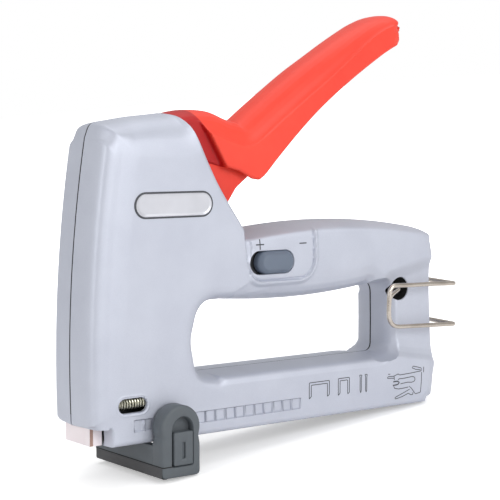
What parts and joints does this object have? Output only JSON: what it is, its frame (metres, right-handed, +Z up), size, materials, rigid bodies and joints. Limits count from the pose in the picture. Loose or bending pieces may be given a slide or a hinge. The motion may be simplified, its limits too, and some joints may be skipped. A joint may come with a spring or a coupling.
{
  "type": "hand staple gun",
  "caption": "Hand-squeezed staple gun with die-cast body, sprung red lever, force adjuster, loading rod, rear wire bail and a clip-on foot under the rail.",
  "frame": {"origin": "centre of the bounding box in X and Y, on the underside of the clip-on foot", "axes": "+X from the nose to the rear, +Z up with the rail level, -Y is the side with the adjuster and badge"},
  "size_m": [0.192, 0.0506, 0.1858],
  "materials": {
    "silver_paint": "satin metallic paint over die-cast alloy",
    "red_plastic": "satin moulded plastic",
    "grey_plastic": "fine matt moulded plastic",
    "knob_plastic": "satin moulded plastic",
    "bright_steel": "bright plated steel",
    "dark_steel": "oiled steel",
    "zinc_wire": "zinc-plated spring wire",
    "chrome_badge": "polished, blank",
    "black_rubber": "matt"
  },
  "bodies": {
    "root": {"left_housing": "silver_paint", "right_housing": "silver_paint", "badge_plate": "chrome_badge", "nose_front_plate": "bright_steel", "nose_guide": "bright_steel", "striker_buffer": "black_rubber", "spring_seat": "dark_steel", "drive_spring": "zinc_wire", "lever_pin": "bright_steel", "magazine_channel": "dark_steel", "staple_rail": "dark_steel", "pusher_spring_left": "zinc_wire", "pusher_spring_right": "zinc_wire", "housing_screw_1": "dark_steel", "housing_screw_2": "dark_steel", "housing_screw_3": "dark_steel", "housing_screw_4": "dark_steel", "housing_screw_5": "dark_steel", "housing_screw_6": "dark_steel"},
    "handle": {"handle_shell": "red_plastic", "lever_insert": "dark_steel", "return_spring": "zinc_wire", "link_stud_left": "dark_steel", "link_stud_right": "dark_steel"},
    "links": {"lifter_link_left": "dark_steel", "lifter_link_right": "dark_steel"},
    "striker": {"driver_blade": "dark_steel", "striker_carrier": "dark_steel"},
    "adjuster": {"adjuster_knob": "knob_plastic", "adjuster_bar": "dark_steel"},
    "bail": {"wire_bail": "bright_steel"},
    "magazine": {"pusher": "dark_steel", "pusher_rod": "bright_steel", "magazine_knob": "grey_plastic"},
    "foot": {"foot_clip": "grey_plastic"},
    "latch_left": {"foot_latch_left": "grey_plastic"},
    "latch_right": {"foot_latch_right": "grey_plastic"}
  },
  "joints": [
    {"name": "handle_hinge", "type": "hinge", "parent": "root", "child": "handle", "pos_m": [-0.051, 0, 0.1174], "axis": [0, 1, 0], "range_deg": [0, 33], "stiffness_Nm_per_rad": 0.5, "springref_deg": -28.65},
    {"name": "link_hinge", "type": "hinge", "parent": "handle", "child": "links", "pos_m": [-0.0785, 0, 0.10925], "axis": [0, 1, 0], "range_deg": [-33, 0]},
    {"name": "striker_slide", "type": "slide", "parent": "root", "child": "striker", "axis": [0, 0, 1], "range_m": [0, 0.0163], "deforming": ["drive_spring"]},
    {"name": "adjuster_slide", "type": "slide", "parent": "root", "child": "adjuster", "axis": [-1, 0, 0], "range_m": [0, 0.004]},
    {"name": "bail_hinge", "type": "hinge", "parent": "root", "child": "bail", "pos_m": [0.062, 0, 0.065], "axis": [0, 1, 0], "range_deg": [-35, 14]},
    {"name": "magazine_slide", "type": "slide", "parent": "root", "child": "magazine", "axis": [1, 0, 0], "range_m": [0, 0.12], "stiffness_N_per_m": 20, "springref_m": -0.05},
    {"name": "foot_slide", "type": "slide", "parent": "root", "child": "foot", "axis": [0, 0, -1], "range_m": [0, 0.03]},
    {"name": "latch_left_hinge", "type": "hinge", "parent": "foot", "child": "latch_left", "pos_m": [-0.06005, -0.024, 0.0049], "axis": [1, 0, 0], "range_deg": [0, 8], "stiffness_Nm_per_rad": 0.2},
    {"name": "latch_right_hinge", "type": "hinge", "parent": "foot", "child": "latch_right", "pos_m": [-0.06005, 0.024, 0.0049], "axis": [-1, 0, 0], "range_deg": [0, 8], "stiffness_Nm_per_rad": 0.2}
  ],
  "couplings": [
    {"joint": "link_hinge", "follows": "handle_hinge", "ratio": -1},
    {"joint": "striker_slide", "follows": "handle_hinge", "m_per_rad": 0.028286}
  ]
}
